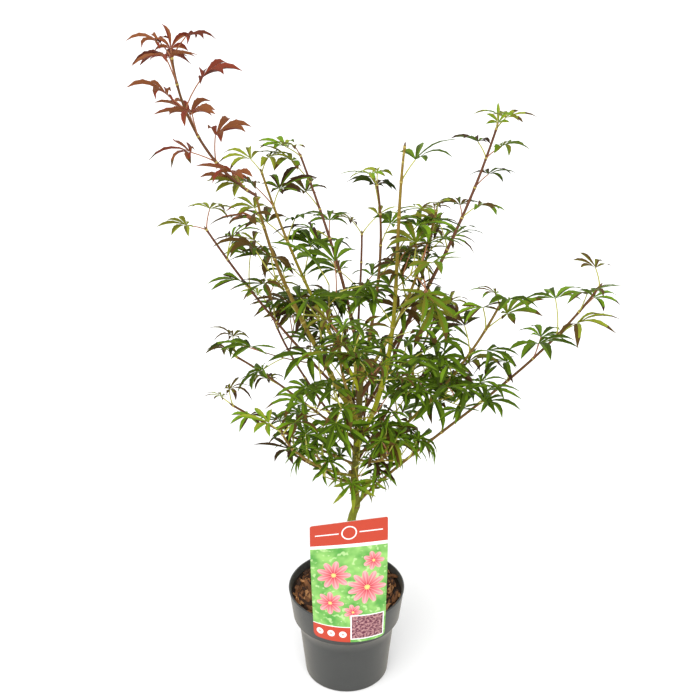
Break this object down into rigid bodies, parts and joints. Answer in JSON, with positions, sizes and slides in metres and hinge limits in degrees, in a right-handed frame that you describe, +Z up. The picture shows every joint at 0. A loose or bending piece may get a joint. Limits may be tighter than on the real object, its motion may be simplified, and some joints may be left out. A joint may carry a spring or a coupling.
{
  "type": "potted japanese maple",
  "caption": "Young japanese maple of slender leafy shoots in a round nursery pot of bark mix, with a plant label hooked over the rim.",
  "frame": {"origin": "centre of the pot's flat underside, the mount named foot", "axes": "+Z up; -Y towards the front, where the plant label hangs; +X to the right seen from the front"},
  "size_m": [0.6983, 0.5193, 1.0596],
  "materials": {
    "pot_plastic": "satin dark grey moulded plastic",
    "bark_mix": "rough chipped bark and compost",
    "label_card": null,
    "trunk_bark": "thin smooth grey-green bark with fine ridges",
    "bough_bark": "olive to brown young bark",
    "green_leaf": "matt green leaves, bronze and purple in places",
    "red_leaf": "matt red-bronze young leaves"
  },
  "bodies": {
    "root": {"bough_back_centre": "bough_bark", "bough_back_left_low": "bough_bark", "bough_back_right": "bough_bark", "bough_back_right_low": "bough_bark", "bough_back_tall": "bough_bark", "bough_centre_back": "bough_bark", "bough_centre_tall": "bough_bark", "bough_front_centre": "bough_bark", "bough_front_left_low": "bough_bark", "bough_front_right": "bough_bark", "bough_left_back_tall": "bough_bark", "bough_left_leader": "bough_bark", "bough_left_low": "bough_bark", "bough_left_mid": "bough_bark", "bough_left_slender": "bough_bark", "bough_right_long": "bough_bark", "bough_right_mid": "bough_bark", "bough_right_tall": "bough_bark", "leaves_back_centre": "green_leaf", "leaves_back_left_low": "green_leaf", "leaves_back_right": "green_leaf", "leaves_back_right_low": "green_leaf", "leaves_back_tall": "green_leaf", "leaves_back_tuft": "green_leaf", "leaves_centre_back": "green_leaf", "leaves_centre_tall": "green_leaf", "leaves_foot_tuft": "green_leaf", "leaves_front_centre": "green_leaf", "leaves_front_left_low": "green_leaf", "leaves_front_right": "green_leaf", "leaves_front_tuft": "green_leaf", "leaves_left_back_tall": "green_leaf", "leaves_left_foot_tuft": "green_leaf", "leaves_left_leader": "green_leaf", "leaves_left_low": "green_leaf", "leaves_left_mid": "green_leaf", "leaves_left_slender": "green_leaf", "leaves_red_tip": "red_leaf", "leaves_right_foot_tuft": "green_leaf", "leaves_right_long": "green_leaf", "leaves_right_mid": "green_leaf", "leaves_right_tall": "green_leaf", "plant_label": "label_card", "pot": "pot_plastic", "potting_mix": "bark_mix", "trunk": "trunk_bark"}
  },
  "joints": []
}
